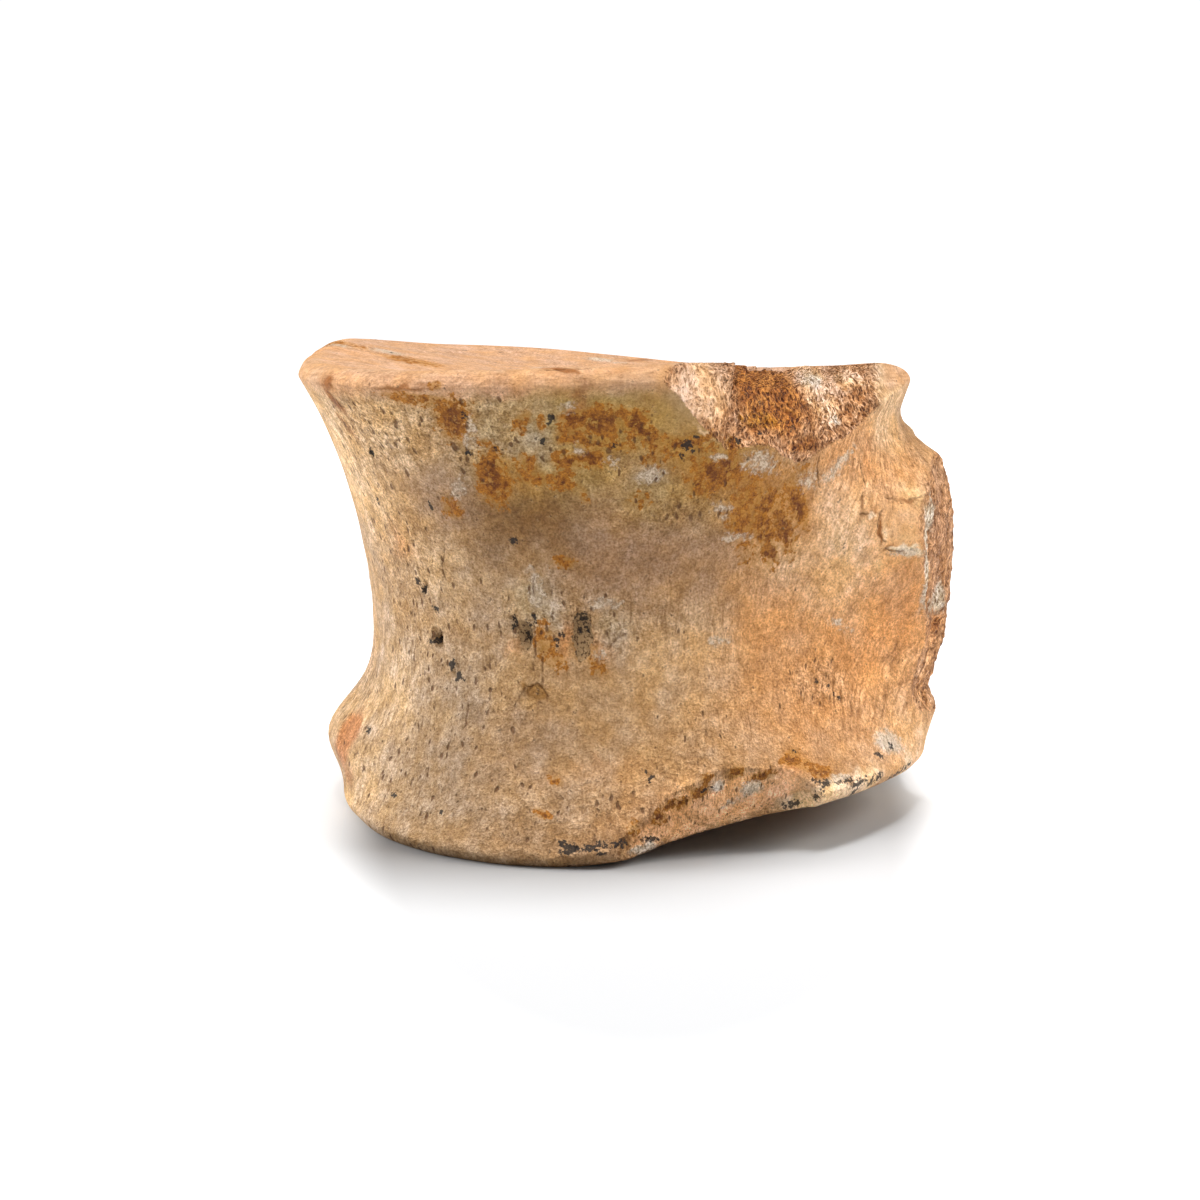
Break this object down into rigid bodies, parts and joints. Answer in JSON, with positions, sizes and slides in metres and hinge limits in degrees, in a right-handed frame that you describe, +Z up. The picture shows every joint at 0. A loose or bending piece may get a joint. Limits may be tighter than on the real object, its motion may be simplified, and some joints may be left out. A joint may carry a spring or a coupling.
{
  "type": "fossil plesiosaur vertebra",
  "caption": "Life-size body of a fossil plesiosaur trunk vertebra, standing on one end face, with waisted sides, dished ends, broken arch stumps and chipped rims.",
  "frame": {"origin": "middle of the bounding box at the surface the bone stands on", "axes": "+X towards the canal side with the arch stumps, +Y away from the viewer of the picture, +Z up along the length of the vertebra"},
  "size_m": [0.0904, 0.0886, 0.0632],
  "materials": {
    "fossil_bone": "matt mineralised bone, tan to ochre, with fine pores, ochre stains, pale crusts and black mineral specks"
  },
  "bodies": {
    "root": {"vertebra": "fossil_bone"}
  },
  "joints": []
}
